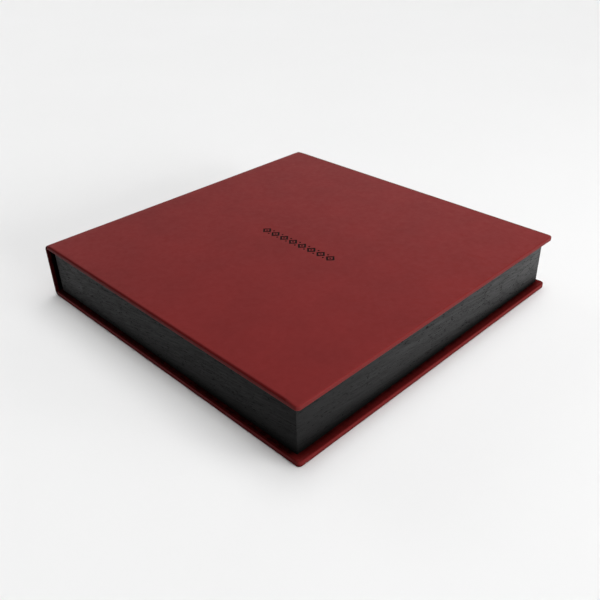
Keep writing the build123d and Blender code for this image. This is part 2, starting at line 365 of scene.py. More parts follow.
def wood_material():
    """Open-pored wood, stained black: rest holds the place along, into and up each board; painted shade
    darkens it at the foot of the walls and towards the corners of tail and fore-edge and of head and spine
    """
    m = Maker("black_wood", Specular_IOR_Level=0.06)
    place = m.rest()
    along, into, up = m.parts(place)
    drift = m.noise(place, (0.012, 0.03, 0.03))
    ripple = m.noise(place, (0.05, 0.2, 0.2))
    height = m.sum(up, (drift, 26), -40)
    arch = m.range(m.math("PINGPONG", m.sum(along, 60), BOARD_STRIDE), 0, 110, 0, 22)
    reach = m.sum(arch, (ripple, 2), into)
    squares = m.sum((height, height), (reach, reach))
    rings = m.math("FRACT", m.times(m.math("SQRT", squares), 1 / RING_WIDTH))
    early = m.range(rings, 0, 0.45, 1, 0)
    rise = m.times(along, m.range(along, TAIL_END, BOARD_STRIDE, -TAIL_GRAIN_RISE, OTHER_GRAIN_FALL))
    grain = m.joined(along, into, m.sum(up, rise))
    fibres = m.noise(grain, (0.035, 3.0, 4.5), 3, 0.6)
    streaks = m.noise(grain, (0.012, 0.4, 0.55))
    fine = m.noise(grain, (0.15, 1.6, 2.7), 2, 0.55)
    coarse = m.noise(grain, (0.22, 0.75, 1.05), 1, 0.5, 0.4)
    ridges = m.noise(grain, (0.07, 0.45, 0.62), 2, 0.5, 0.3)
    fine_pore = m.range(m.math("SUBTRACT", fine, m.sum(0.66, (early, -0.07))), 0, 0.05)
    dash = m.range(m.math("SUBTRACT", coarse, m.sum(0.645, (early, -0.08))), 0, 0.06)
    pore = m.math("MAXIMUM", fine_pore, dash)
    # Painted shade at the foot of the walls, stronger on the boards past the tail and towards two corners
    away = m.range(up, tail_low.z, FOOT_SHADE_TOP, 1, 0)
    ridged = m.times(m.sum(ridges, -0.5), m.range(along, TAIL_END, BOARD_STRIDE, 1, 0.55))
    tone = m.sum((fibres, 0.5), (streaks, 0.6), ridged, (early, -0.1))
    stain = m.mix(m.range(tone, 0.29, 0.79), (0.048, 0.048, 0.0484, 1), (0.110, 0.110, 0.111, 1))
    # Painted shade: darker towards the corner of tail and fore-edge and the corner of head and spine
    nearness = m.math("PINGPONG", m.sum(along, 35), BOARD_STRIDE)
    corner_shade = m.sum(m.range(nearness, 36, 120, 0, 0.32), m.range(nearness, 120, TAIL_END, 0, 0.46))
    foot = m.times(m.math("POWER", away, 1.62), FOOT_SHADE)
    past_tail = m.times(m.math("GREATER_THAN", along, BOARD_STRIDE - 10), 1.03)
    share = m.math("MAXIMUM", m.range(corner_shade, 0, 0.78, 0.8, 1.08), past_tail)
    shade = m.math("MINIMUM", m.times(foot, share), 0.98)
    # Colour of the painted shade
    black = (0.001, 0.001, 0.001, 1)
    open_share = m.times(pore, m.range(nearness, 120, 300, 0.8, 0.5))
    pored = m.mix(open_share, m.mix(corner_shade, stain, black), (0.004, 0.004, 0.004, 1))
    roughness = m.sum(m.range(fibres, 0.3, 0.7, 0.5, 0.6), (pore, 0.3))
    relief = m.sum((fibres, 0.25), (pore, -1), (early, -0.12))
    return m.finish(m.mix(shade, pored, black), roughness, m.bump(relief, 0.12))


def cloth_material(name, dark, light, sheen):
    """Fine plain weave"""
    m = Maker(name, Sheen_Weight=sheen, Specular_IOR_Level=0.8 * sheen)
    place = m.rest()
    across, along, up = m.parts(place)
    turns = 2 * pi / THREAD_PITCH
    warp = m.math("SINE", m.times(m.sum(across, up), turns))
    weft = m.math("SINE", m.times(m.sum(along, up), turns))
    weave = m.times(warp, weft)
    slubs = m.noise(place, 0.9, 3, 0.6)
    colour = m.mix(m.range(m.sum((weave, 0.2), slubs), 0.2, 0.8), dark, light)
    return m.finish(colour, m.range(slubs, 0.3, 0.7, 0.75, 0.9), m.bump(m.sum(weave, slubs), 0.06))


def suede_material():
    """Short nap that lies now one way and now the other"""
    m = Maker("suede", Sheen_Weight=0.35, Sheen_Roughness=0.4, Specular_IOR_Level=0.2)
    place = m.rest()
    brushed = m.noise(place, 0.035, 3, 0.55, 0.6)
    nap = m.noise(place, 2.6, 3, 0.7)
    tone = m.sum((brushed, 0.8), (nap, 0.3))
    colour = m.mix(m.range(tone, 0.35, 0.75), (0.008, 0.008, 0.009, 1), (0.02, 0.02, 0.021, 1))
    return m.finish(colour, m.range(nap, 0.3, 0.7, 0.85, 0.97), m.bump(nap, 0.15))


def ribbon_material():
    """Satin with fine ribs across: rest holds the place along and across the ribbon"""
    m = Maker("ribbon", Sheen_Weight=0.2, Anisotropic=0.4)
    place = m.rest()
    ribs = m.math("SINE", m.times(m.parts(place)["X"], 2 * pi / RIB_PITCH))
    threads = m.noise(place, (0.4, 6.0, 1.0), 2, 0.6)
    tone = m.sum((ribs, 0.12), threads)
    colour = m.mix(m.range(tone, 0.3, 0.7), (0.010, 0.009, 0.009, 1), (0.024, 0.021, 0.021, 1))
    relief = m.sum((ribs, 0.5), (threads, 0.4))
    return m.finish(colour, m.range(threads, 0.3, 0.7, 0.32, 0.45), m.bump(relief, 0.05))


def board_material():
    """Grey board pressed from waste paper, with flecks and fibres"""
    m = Maker("grey_board", Specular_IOR_Level=0.25)
    place = m.cad_place()
    clouds = m.noise(place, 0.05, 3)
    fibres = m.noise(m.stretch(place, (1.0, 2.4, 5.0)), 1.2, 3, 0.7)
    flecks = m.range(m.noise(place, 1.7), 0.68, 0.72)
    base = m.mix(m.sum((clouds, 0.5), (fibres, 0.5)), (0.17, 0.155, 0.13, 1), (0.27, 0.25, 0.21, 1))
    colour = m.mix(m.times(flecks, 0.6), base, (0.07, 0.06, 0.05, 1))
    return m.finish(colour, m.range(fibres, 0.3, 0.7, 0.85, 0.95), m.bump(fibres, 0.08))


def plywood_material():
    """Birch plywood: plies that change direction, with fine grain"""
    m = Maker("plywood", Specular_IOR_Level=0.35)
    place = m.cad_place()
    ply = m.math("FRACT", m.times(m.parts(place)["Z"], 1 / PLY_PITCH))
    turned = m.math("GREATER_THAN", ply, 0.5)
    grain_x = m.noise(place, (0.03, 1.4, 4.0), 3, 0.6)
    grain_y = m.noise(place, (1.4, 0.03, 4.0), 3, 0.6)
    grain = m.sum((grain_x, m.math("SUBTRACT", 1, turned)), (grain_y, turned))
    wood = m.mix(m.range(grain, 0.3, 0.7), (0.34, 0.21, 0.10, 1), (0.52, 0.37, 0.21, 1))
    colour = m.mix(m.times(turned, 0.25), wood, (0.25, 0.15, 0.07, 1))
    return m.finish(colour, m.range(grain, 0.3, 0.7, 0.55, 0.7), m.bump(grain, 0.06))


def nickel_material():
    """Nickel plate with fine scratches and a soft tarnish"""
    m = Maker("nickel", Metallic=1)
    place = m.cad_place()
    scratches = m.noise(place, (0.5, 14.0, 3.0), 3, 0.7)
    tarnish = m.noise(place, 0.7, 3, 0.6)
    colour = m.mix(m.range(tarnish, 0.4, 0.7), (0.60, 0.57, 0.51, 1), (0.47, 0.44, 0.38, 1))
    roughness = m.sum(m.range(scratches, 0.3, 0.7, 0.2, 0.34), (tarnish, 0.08))
    return m.finish(colour, roughness, m.bump(scratches, 0.01))


leather = leather_material("red_leather", 0.088)
# Shaded copy of the leather, with its reflection cut, for faces wholly in painted shade
shaded_leather = leather_material("shaded_red_leather", 0.02)
foil = foil_material()
black_wood = wood_material()
book_cloth = cloth_material("book_cloth", (0.005, 0.005, 0.0054, 1), (0.012, 0.012, 0.013, 1), 0.05)
hinge_cloth = cloth_material("hinge_cloth", (0.0008, 0.0007, 0.0007, 1), (0.0024, 0.002, 0.002, 1), 0)
suede = suede_material()
ribbon_satin = ribbon_material()
grey_board = board_material()
plywood = plywood_material()
nickel = nickel_material()


# The leather's section round the edge of a board


def edge_ease(inset):
    """How far a skin falls away beside its edge"""
    return EASE_DEPTH * max(0, 1 - inset / EASE_WIDTH) ** 2


def edge_section(radius=ARRIS):
    """(inset, depth) from the flat of an outer face over its arris to the side"""
    section = [(inset, edge_ease(inset)) for inset in (EASE_WIDTH, 5.0, 3.4, 2.2)]
    start = edge_ease(radius)
    for t in quarter(ARC_STEPS):
        section.append((radius * (1 - sin(t)), lerp(start, radius, 1 - cos(t))))
    return section


def edge_arc(thickness, radius, steps):
    """(inset, depth) from the side of a board to the face at its thickness"""
    return [(radius * (1 - cos(t)), thickness - radius * (1 - sin(t))) for t in quarter(steps)]


def wrap_section(thickness, outer=ARRIS, inner=ARRIS):
    """(inset, depth) from the flat of an outer face round the board and back on its hidden side"""
    section = edge_section(outer) + [(0.0, thickness / 2)]
    section += edge_arc(thickness, inner, ARC_STEPS)
    section += [(inset, thickness) for inset in (1.6, 2.6, 4.0, 5.5, 9.0, 12.5, turn_in - 0.7)]
    section += [(turn_in - 0.2, thickness - 0.08), (turn_in, thickness - 0.3)]
    hidden = thickness - hide
    section += [(turn_in, hidden), (9.0, hidden), (hide, hidden)]
    return section + [(hide, hide), (EASE_WIDTH, hide)]


def hinge_ease(distance, depth, ease):
    """How far an outer face falls away, at a distance from the joint and a depth under it"""
    share = max(0, 1 - distance / HINGE_WIDTH) ** 2
    return ease * share * max(0, 1 - depth / lid_thickness)


def rim_painted_shade(inset, depth, x):
    """Painted shade on the outer arris of lid and spine at head and tail, fading out near the fore-edge"""
    side = 1 - smooth((x - front_x + 12) / 10)
    return side * smooth((2.6 - inset) / 1.5) * (0.52 - 0.2 * depth) if depth < 2 * ARRIS else 0


def painted_shade_at(inset, depth, thickness, x, y):
    """Painted shade on the bottom cover's leather: at its foot by the floor and beside the tray, most at
    head and tail and less near the front corners
    """
    front = smooth((x - front_x + 12) / 10)
    if depth < thickness / 2:
        return 0.5 * (1 - smooth(2 * depth / thickness))
    over = max(0, min(1, 1.5 * (depth - thickness + ARRIS) / ARRIS))
    over *= 1 - 0.5 * smooth(1 - (front_x - x + half_width - abs(y)) / 20)
    if inset < ARRIS:
        return over * lerp(0.8, 0.55, front)
    along_front = 0.48 + 0.49 * min(1, (inset - ARRIS) / 5.0) ** 2.2
    return over * lerp(0.98, along_front, front)


def fore_edge_highlight_at(inset, depth, x):
    """Painted highlight on the side of the lid's fore-edge: twice the burnish value there"""
    return 2 * smooth(depth / 0.8) * smooth((x - front_x + 8) / 6) if inset < ARRIS else 0


def wear_at(inset, depth, thickness):
    """Burnish of the leather: full on both arrises and fading beside them"""
    on_side = inset < ARRIS
    near = min(depth, thickness - depth) if on_side else inset - ARRIS
    return 1.0 if on_side and near < ARRIS else max(0, 1 - near / 2.5) * 0.6


def hinge_row():
    """Places across the case between the eased edges, from the tail to the head"""
    reach = half_width - EASE_WIDTH
    count = round(2 * reach / GRID)
    return [lerp(-reach, reach, k / count) for k in range(1, count)]


def cover_outline(inset):
    """Edge of a cover in plan, moved in, from the hinge at the tail to the hinge at the head"""
    radius = max(CORNER_RADIUS - inset, LEAST_RADIUS)
    front = front_x - inset
    half = half_width - inset
    edge = [(hinge_x + step, -half) for step in HINGE_STEPS]
    start = hinge_x + SIDE_START
    edge += [(lerp(start, front - radius, k / SIDE_STEPS), -half) for k in range(SIDE_STEPS)]
    for t in quarter(CORNER_STEPS):
        edge.append((front - radius * (1 - sin(t)), radius * (1 - cos(t)) - half))
    edge += [(front, (radius - half) * (1 - k / FRONT_STEPS)) for k in range(1, FRONT_STEPS)]
    return edge + [(front, 0)] + [(x, -y) for x, y in reversed(edge)]


def unevenness(x, y, fine=0.012):
    """How far a pasted skin stands off from flat, fading out where skins meet at the hinge"""
    fade = smooth((x - hinge_x) / 15)
    waves = 0.05 * noise.noise((x / 70, y / 70, 3.1))
    ripples = fine * noise.noise((x / 17, y / 17, 7.7))
    return fade * (waves + ripples)


# Stamped ornament on the lid: a row of outlined lozenges with pairs of dots between them
STAMP_X = 6.0
STAMP_Y = -5.0
LOZENGES = 8
HALF_ROW = (LOZENGES - 1) / 2
PITCH = 12.0  # from lozenge to lozenge
LOZENGE_HALF = (5.3, 5.4)  # half its length and half its height
PIP_HALF = (1.3, 1.3)  # solid lozenge within each outlined one
STROKE = 1.8
DOT_RADIUS = 1.05
DOT_RISE = 3.5
DOT_CORNERS = 12
STAMP_DEPTH = 0.3
# Offset from the outline, share of the depth
STAMP_STEPS = ((0.4, 0.0), (0.17, 0.03), (0.0, 0.3), (-0.14, 1.0))


def lozenge_reach(half):
    """Distance from a lozenge's middle to its sides"""
    return half[0] * half[1] / hypot(*half)


def lozenge_distance(x, y, half):
    """Distance from a lozenge's sides, negative inside"""
    return (abs(x) / half[0] + abs(y) / half[1] - 1) * lozenge_reach(half)


def stamp_distance(x, y):
    """Distance from the nearest stamped stroke, negative on it"""
    u = x - STAMP_X
    v = y - STAMP_Y
    cell = min(max(round(u / PITCH + HALF_ROW), 0), LOZENGES - 1)
    local = u - (cell - HALF_ROW) * PITCH
    outer = lozenge_distance(local, v, LOZENGE_HALF)
    pip = lozenge_distance(local, v, PIP_HALF)
    gap = min(max(floor(u / PITCH + HALF_ROW), 0), LOZENGES - 2)
    beside = u - (gap + 0.5 - HALF_ROW) * PITCH
    dot = hypot(beside, abs(v) - DOT_RISE) - DOT_RADIUS
    return min(max(outer, -outer - STROKE), pip, dot)


def stamp_sink(x, y):
    """Depth of the stamped ornament at a place on the lid"""
    distance = stamp_distance(x, y)
    for (far, low), (near, deep) in zip(STAMP_STEPS, STAMP_STEPS[1:]):
        if distance >= near:
            share = lerp(deep, low, (distance - near) / (far - near)) if distance < far else low
            return STAMP_DEPTH * share
    return STAMP_DEPTH


def lozenge_loop(x, offset, half):
    """Corners of a lozenge of the row, moved out by the offset"""
    scale = 1 + offset / lozenge_reach(half)
    ends = ((half[0], 0), (0, half[1]), (-half[0], 0), (0, -half[1]))
    return [(x + u * scale, STAMP_Y + v * scale) for u, v in ends]


def stamp_loops():
    """Outlines of the ornament at every step of its depth"""
    loops = []
    for cell in range(LOZENGES):
        x = STAMP_X + (cell - HALF_ROW) * PITCH
        for offset, _ in STAMP_STEPS:
            loops.append(lozenge_loop(x, offset, LOZENGE_HALF))
            loops.append(lozenge_loop(x, -STROKE - offset, LOZENGE_HALF))
            loops.append(lozenge_loop(x, offset, PIP_HALF))
            if cell < LOZENGES - 1:
                for rise in (-DOT_RISE, DOT_RISE):
                    y = STAMP_Y + rise
                    loops.append(circle(x + PITCH / 2, y, DOT_RADIUS + offset, DOT_CORNERS))
    return loops


def in_stamp_field(x, y, margin=3.0):
    """Whether a place lies on the ornament's field or beside it"""
    reach = PITCH * HALF_ROW + LOZENGE_HALF[0] + margin
    height = LOZENGE_HALF[1] + margin
    return abs(x - STAMP_X) < reach and abs(y - STAMP_Y) < height


def cover_skin(name, outer_z, inward, thickness, ease, stamped):
    """Leather of a cover: outer face, wrapped edges, mitred turn-ins and the hidden side on the board"""
    shape = Shape()
    arrises = (ARRIS, PRESSED_ARRIS) if stamped else (PRESSED_ARRIS, ARRIS)
    corner = len(HINGE_STEPS) + SIDE_STEPS + CORNER_STEPS // 2
    mitres = (corner, len(cover_outline(0)) - 1 - corner)
    rings = []
    for inset, depth in wrap_section(thickness, *arrises):
        ring = []
        on_turn_in = depth > thickness - hide
        for index, (x, y) in enumerate(cover_outline(inset)):
            sink = MITRE_SINK * smooth((inset - 0.6) / 2.4) if index in mitres and on_turn_in else 0
            lift = unevenness(x, y, 0.03) if depth <= ARRIS or on_turn_in else 0
            drop = hinge_ease(x - hinge_x, depth, 0.0 if on_turn_in else ease)
            z = outer_z + inward * (depth + drop - sink - lift)
            painted_shade = rim_painted_shade(inset, depth, x) if stamped else painted_shade_at(inset, depth, thickness, x, y)
            wear_and_painted_light = max(wear_at(inset, depth, thickness), fore_edge_highlight_at(inset, depth, x) if stamped else 0)
            ring.append(shape.point(x, y, z, -painted_shade or wear_and_painted_light))
        rings.append(ring)
    shape.loft(rings)
    plate_row = [shape.point(hinge_x, y, outer_z + inward * ease) for y in hinge_row()]
    hidden_z = outer_z + inward * hide
    hidden_row = [shape.point(hinge_x, y, hidden_z) for y in hinge_row()]

    def outer_place(x, y):
        sink = stamp_sink(x, y) if stamped else 0
        drop = hinge_ease(x - hinge_x, 0.0, ease)
        return x, y, outer_z + inward * (sink + drop - unevenness(x, y))

    def hidden_place(x, y):
        return x, y, hidden_z

    def outer_skin(x, y):
        return 2 if stamped and stamp_distance(x, y) < 0 else 0

    loops = stamp_loops() if stamped else ()
    inner = [spot for spot in grid_spots(GRID) if not (stamped and in_stamp_field(*spot))]
    shape.fill(rings[0] + plate_row[::-1], outer_place, inner, loops, outer_skin)
    shape.fill(rings[-1] + hidden_row[::-1], hidden_place, grid_spots(4 * GRID))
    tail_ends = [ring[0] for ring in rings]
    head_ends = [ring[-1] for ring in reversed(rings)]
    shape.face(tail_ends + hidden_row + head_ends + plate_row[::-1])
    shape.use_shaded_skin(1)
    return shape.piece(name, (leather, shaded_leather, foil) if stamped else (leather, shaded_leather))


def grid_spots(step):
    """Places over a cover, clear of its eased edges"""
    low_x = hinge_x + SIDE_START
    high_x = front_x - EASE_WIDTH - step / 2
    reach = half_width - EASE_WIDTH - step / 2
    columns = round((high_x - low_x) / step)
    rows = round(2 * reach / step)
    places = [hinge_x + near for near in HINGE_STEPS[1:]]
    places += [lerp(low_x, high_x, i / columns) for i in range(columns + 1)]
    return [
        (x, lerp(-reach, reach, (j + (i % 2) / 2) / (rows + 0.5)))
        for i, x in enumerate(places)
        for j in range(rows + 1)
    ]


def spine_skin(name):
    """Leather of the spine, turned in at head and tail"""
    shape = Shape()
    section = wrap_section(spine_thickness)
    loop = [(inset - half_width, depth) for inset, depth in section]
    loop += [(y, hide) for y in hinge_row()]
    loop += [(half_width - inset, depth) for inset, depth in reversed(section)]
    loop += [(y, 0.0) for y in reversed(hinge_row())]
    places = [*HINGE_STEPS, spine_height / 3, spine_height / 2]
    places += [spine_height - place for place in reversed(places[:-1])]
    rows = []
    for place in places:
        fade = smooth(min(place, spine_height - place) / 12)
        row = []
        for y, depth in loop:
            wave = 0.04 * fade * noise.noise((11.3, y / 45, place / 30)) if depth <= ARRIS else 0
            drop = hinge_ease(spine_height - place, depth, HINGE_EASE if depth < hide else 0)
            inset = half_width - abs(y)
            # Painted shade: the spine's leather darkens from its end sides inwards, more the deeper it lies
            # towards the gap by the tray
            painted_shade = 0.3 + 0.6 * depth / spine_thickness if depth > ARRIS else rim_painted_shade(inset, depth, spine_x)
            wear_and_painted_light = -painted_shade or wear_at(inset, depth, spine_thickness)
            row.append(shape.point(spine_x + depth + drop - wave, y, spine_low.z + place, wear_and_painted_light))
        rows.append(row)
    shape.loft(rows, closed=True, capped=True)
    cloth_start = half_width - SPINE_TURN_IN
    inner = [depth > spine_thickness - hide and abs(y) < cloth_start for y, depth in loop]
    for number in range(len(loop) * (len(rows) - 1)):
        place = number % len(loop)
        shape.skins[number] = int(inner[place] and inner[(place + 1) % len(loop)])
    shape.use_shaded_skin(2)
    return shape.piece(name, (leather, hinge_cloth, shaded_leather))


def joint_skin(name, middle_z, first_angle, ease):
    """Joint of the spine with a cover: a quarter ring of leather with hinge cloth behind it"""
    shape = Shape()
    outer = [(inset - half_width, depth) for inset, depth in reversed(edge_section())]
    outer += [(y, 0.0) for y in hinge_row()]
    outer += [(half_width - inset, depth) for inset, depth in edge_section()]
    inner = [(y, JOINT_THICKNESS) for y, _ in reversed(outer[1:-1])]
    rows = []
    for k in range(JOINT_STEPS + 1):
        share = (1 - cos(pi * k / JOINT_STEPS)) / 2
        turn = radians(first_angle + 90 * share)
        bulge = ease + 0.5 * ease * sin(pi * share)
        row = []
        for y, depth in outer + inner:
            radius = joint_radius - depth - bulge * (1 - depth / lid_thickness)
            x = hinge_x + radius * cos(turn)
            inset = half_width - abs(y)
            wear_and_painted_light = -rim_painted_shade(inset, depth, x) or wear_at(inset, depth, 2 * ARRIS)
            row.append(shape.point(x, y, middle_z + radius * sin(turn), wear_and_painted_light))
        rows.append(row)
    split = len(outer)
    for first, second in zip(rows, rows[1:]):
        shape.strip(first[:split], second[:split])
        shape.strip(first[split - 1:] + first[:1], second[split - 1:] + second[:1], skin=1)
    shape.face(rows[0], skin=1)
    shape.face(rows[-1][::-1], skin=1)
    shape.use_shaded_skin(2)
    return shape.piece(name, (leather, hinge_cloth, shaded_leather))


# Pasted sheets and soft linings: thin slabs with rounded edges


def slab(shape, low, high, thickness, place, rounding=0.15, step=16.0, uneven=0.0):
    """Adds a thin slab that lies on (u, v) from low to high; place turns (u, v, height) into a point"""
    section = [(0.0, 0.0), (0.0, thickness - rounding)]
    section += edge_arc(thickness, rounding, 3)[1:]
    section.append((rounding + 0.8, thickness))
    columns, rows = (max(1, round((high[k] - low[k]) / step)) for k in range(2))
    border = [(i, 0) for i in range(columns)] + [(columns, j) for j in range(rows)]
    border += [(i, rows) for i in range(columns, 0, -1)] + [(0, j) for j in range(rows, 0, -1)]

    def add_point(i, j, inset, height, wave=0.0):
        u = lerp(low[0] + inset, high[0] - inset, i / columns)
        v = lerp(low[1] + inset, high[1] - inset, j / rows)
        height += wave * noise.noise((u / 40, v / 40, 5.5))
        return shape.point(*place(u, v, height))

    rings = [[add_point(*cell, *level) for cell in border] for level in section]
    shape.loft(rings, closed=True)
    shape.face(rings[0][::-1])
    numbers = dict(zip(border, rings[-1]))
    for j in range(rows + 1):
        for i in range(columns + 1):
            if (i, j) not in numbers:
                numbers[i, j] = add_point(i, j, *section[-1], uneven)
    shape.loft([[numbers[i, j] for i in range(columns + 1)] for j in range(rows + 1)])


SHEET_DROP = 0.12  # pasted sheets lie this far below the leather beside them
LIP = 0.2  # thickness of the sheet's end where it covers the end of a board
LIP_MARGIN = 1.0
LIP_ROUNDING = 0.08


def pasted_sheet(name, low, high, bottom, on_board, ends):
    """Sheet pasted on a board, with a lip over each of the given ends"""
    shape = Shape()
    slab(shape, low, high, hide - SHEET_DROP, on_board)
    reach = half_width - LIP_MARGIN
    for on_end in ends:
        slab(shape, (-reach, JOINT_THICKNESS), (reach, bottom), LIP, on_end, LIP_ROUNDING)
    return shape.piece(name, (book_cloth,))


def cover_sheet(name, outer_z, inward, thickness):
    """Sheet pasted between the turn-ins of a cover, with its end folded over the end of the board"""
    bottom = thickness - hide
    reach = half_width - turn_in

    def on_board(u, v, height):
        return u, v, outer_z + inward * (bottom + height)

    def on_end(u, v, height):
        return hinge_x - height, u, outer_z + inward * v

    low, high = (hinge_x - LIP, -reach), (front_x - turn_in, reach)
    return pasted_sheet(name, low, high, bottom, on_board, (on_end,))


def spine_sheet(name):
    """Sheet pasted inside the spine, with both ends folded over the ends of its board"""
    bottom = spine_thickness - hide
    reach = half_width - turn_in

    def on_board(u, v, height):
        return spine_x + bottom + height, u, v

    def on_top(u, v, height):
        return spine_x + v, u, spine_high.z + height

    def on_foot(u, v, height):
        return spine_x + v, u, spine_low.z - height

    low, high = (-reach, spine_low.z - LIP), (reach, spine_high.z + LIP)
    return pasted_sheet(name, low, high, bottom, on_board, (on_top, on_foot))


def floor_sheet(name):
    """Suede on the floor of the tray"""
    shape = Shape()

    def place(u, v, height):
        return u, v, floor_low.z + height

    slab(shape, floor_low, floor_high, floor_high.z - floor_low.z, place, 0.35, 12.0, uneven=0.12)
    return shape.piece(name, (suede,))


# Mitred walls and wall linings
SIDES = ("tail", "fore_edge", "head", "spine")


def side_frame(side):
    """Corner where a side starts, its direction, the direction into the tray and its length"""
    left, right, near, far = tail_low.x, tail_high.x, tail_low.y, fore_high.y
    corners = [Vector(spot) for spot in ((left, near), (right, near), (right, far), (left, far))]
    start = corners[side]
    span = corners[(side + 1) % len(corners)] - start
    along = span.normalized()
    return start, along, Vector((-along.y, along.x)), span.length


def mitred_board(name, side, section, rounding, material, steps=16):
    """Board along one side of the tray: section holds (into, up) and the ends are mitred"""
    shape = Shape()
    start, along, into, length = side_frame(side)
    ends = [(0.0, 0.0)]
    if rounding:
        turns = [radians(45 * (1 - k / 4)) for k in range(5)]
        ends = [(rounding * (cos(t) - sin(t)), rounding * (1 - cos(t))) for t in turns]
    stops = [(0, *end) for end in ends] + [(k, 0.0, 0.0) for k in range(1, steps)]
    stops += [(steps, *end) for end in reversed(ends)]
    rows = []
    for k, slant, dip in stops:
        row = []
        for depth, up in section:
            inside = depth + dip * max(0, 1 - depth / rounding) if dip else depth
            reach = length * k / steps
            if k == 0:
                reach = inside + slant
            elif k == steps:
                reach = length - (inside + slant)
            spot = start + along * reach + into * inside
            row.append(shape.point(spot.x, spot.y, up, rest=(BOARD_STRIDE * side + reach, inside, up)))
        rows.append(row)
    shape.loft(rows, closed=True, capped=True)
    return shape.piece(name, (material,))


def arc(x, y, radius, start, end, steps=4):
    """Points of an arc in a section, from start to end degrees"""
    turns = [radians(lerp(start, end, k / steps)) for k in range(steps + 1)]
    return [(x + radius * cos(t), y + radius * sin(t)) for t in turns]


def wall_section():
    """Section of a tray wall as (into, up), with soft edges and the rabbet for the floor"""
    foot = 0.2
    bottom, top = tail_low.z, tail_high.z
    rabbet = wall_thickness - (panel_high.y - floor_high.y)
    section = [(foot, bottom), (0.0, bottom + foot)]
    section += arc(RIM_RADIUS, top - RIM_RADIUS, RIM_RADIUS, 180, 90)
    section += arc(wall_thickness - RIM_RADIUS, top - RIM_RADIUS, RIM_RADIUS, 90, 0)
    return section + [(wall_thickness, panel_high.z), (rabbet, panel_high.z), (rabbet, bottom)]


def lining_section():
    """Section of a wall lining as (into, up), with a soft upper edge"""
    soft = 0.4
    inner = wall_thickness + strip_high.y - strip_low.y
    bottom, top = strip_low.z, strip_high.z
    section = [(wall_thickness, bottom), (wall_thickness, top - 0.1), (wall_thickness + 0.1, top)]
    return section + arc(inner - soft, top - soft, soft, 90, 0) + [(inner, bottom)]


def magnet_cutter(corners=48):
    """Two plugs that cut the seats of the magnets out of the fore-edge wall"""
    cutter = Shape()
    radius = (magnet_high.x - magnet_low.x) / 2
    middle_x = (magnet_low.x + magnet_high.x) / 2
    seat = radius + 0.05
    wide = seat + 0.25
    low, top = magnet_low.z, magnet_high.z
    section = [(seat, low), (seat, top - 0.15), (wide, top + 0.1), (wide, top + 2)]
    for middle_y in (magnet_low.y + radius, magnet_high.y - radius):
        rings = []
        for reach, z in section:
            rings.append([cutter.point(*spot, z) for spot in circle(middle_x, middle_y, reach, corners)])
        cutter.loft(rings, closed=True)
        cutter.face(rings[0][::-1])
        cutter.face(rings[-1])
    return cutter.piece("magnet_cutter", (black_wood,))


def cut_magnet_seats(wall):
    cutter = magnet_cutter()
    cut = wall.modifiers.new("seats", "BOOLEAN")
    cut.operation = "DIFFERENCE"
    cut.solver = "EXACT"
    cut.object = cutter
    depsgraph = bpy.context.evaluated_depsgraph_get()
    mesh = bpy.data.meshes.new_from_object(wall.evaluated_get(depsgraph))
    wall.modifiers.clear()
    wall.data = mesh
    bpy.data.objects.remove(cutter)


# Lift ribbon
RIBBON_HALF = 0.16  # half its thickness
SELVEDGE = 0.24  # half thickness of the woven edges
RIBBON_TURN = 2.8
RIBBON_SLANT = 7.0  # the free end is cut at a slant
RIBBON_LEAN = 1.4  # the tail stands off from the wall at its top
RIBBON_WAVE = 0.45  # how far the ribbon lifts from the floor in places
WAVE_LENGTH = 19  # of one radian of its waves


def ribbon_path(distance):
    """(x, z) of the ribbon's middle and its direction as an angle, at a distance from its start"""
    start_x = ribbon_low.x + 0.3
    bend_x = ribbon_high.x - SELVEDGE - 0.1
    rest_z = ribbon_low.z + SELVEDGE + 0.05
    run = bend_x - RIBBON_TURN - start_x
    quarter = RIBBON_TURN * pi / 2
    if distance <= run:
        lift = RIBBON_WAVE * smooth(distance / 25) * smooth((run - distance) / 40)
        z = rest_z + lift * (0.5 + 0.5 * sin(distance / WAVE_LENGTH))
        slope = lift * 0.5 * cos(distance / WAVE_LENGTH) / WAVE_LENGTH
        return start_x + distance, z, atan(slope)
    if distance <= run + quarter:
        turn = (distance - run) / RIBBON_TURN
        x = start_x + run + RIBBON_TURN * sin(turn)
        return x, rest_z + RIBBON_TURN * (1 - cos(turn)), turn
    rise = distance - run - quarter
    height = ribbon_high.z - rest_z - RIBBON_TURN
    share = rise / height
    slope = 2 * RIBBON_LEAN * share / height
    z = rest_z + RIBBON_TURN + rise
    return bend_x - RIBBON_LEAN * share ** 2, z, pi / 2 + atan(slope)


def ribbon_length():
    run = ribbon_high.x - ribbon_low.x - RIBBON_TURN
    rise = ribbon_high.z - ribbon_low.z - RIBBON_TURN
    return run + RIBBON_TURN * pi / 2 + rise - 1.0


def ribbon_mesh(name):
    """Satin ribbon across the floor and up the fore-edge wall"""
    shape = Shape()
    half = (ribbon_high.y - ribbon_low.y) / 2
    across = [-half, 0.25 - half, 0.6 - half, -half * 0.6, 0, half * 0.6, half - 0.6, half - 0.25, half]
    thick = [0.1, SELVEDGE, *[RIBBON_HALF] * 5, SELVEDGE, 0.1]
    length = ribbon_length()
    rows = []
    for k in range(RIBBON_STEPS + 1):
        upper, lower = [], []
        for y, half_thick in zip(across, thick):
            end = length - RIBBON_SLANT * (y + half) / (2 * half)
            distance = min(length * k / RIBBON_STEPS, end - 0.02 * (RIBBON_STEPS - k))
            x, z, turn = ribbon_path(distance)
            off_x, off_z = -sin(turn) * half_thick, cos(turn) * half_thick
            rest = (distance, y, 0.0)
            upper.append(shape.point(x + off_x, y, z + off_z, rest=rest))
            lower.append(shape.point(x - off_x, y, z - off_z, rest=rest))
        rows.append(upper + lower[::-1])
    shape.loft(rows, closed=True, capped=True)
    return shape.piece(name, (ribbon_satin,), sharp=60)


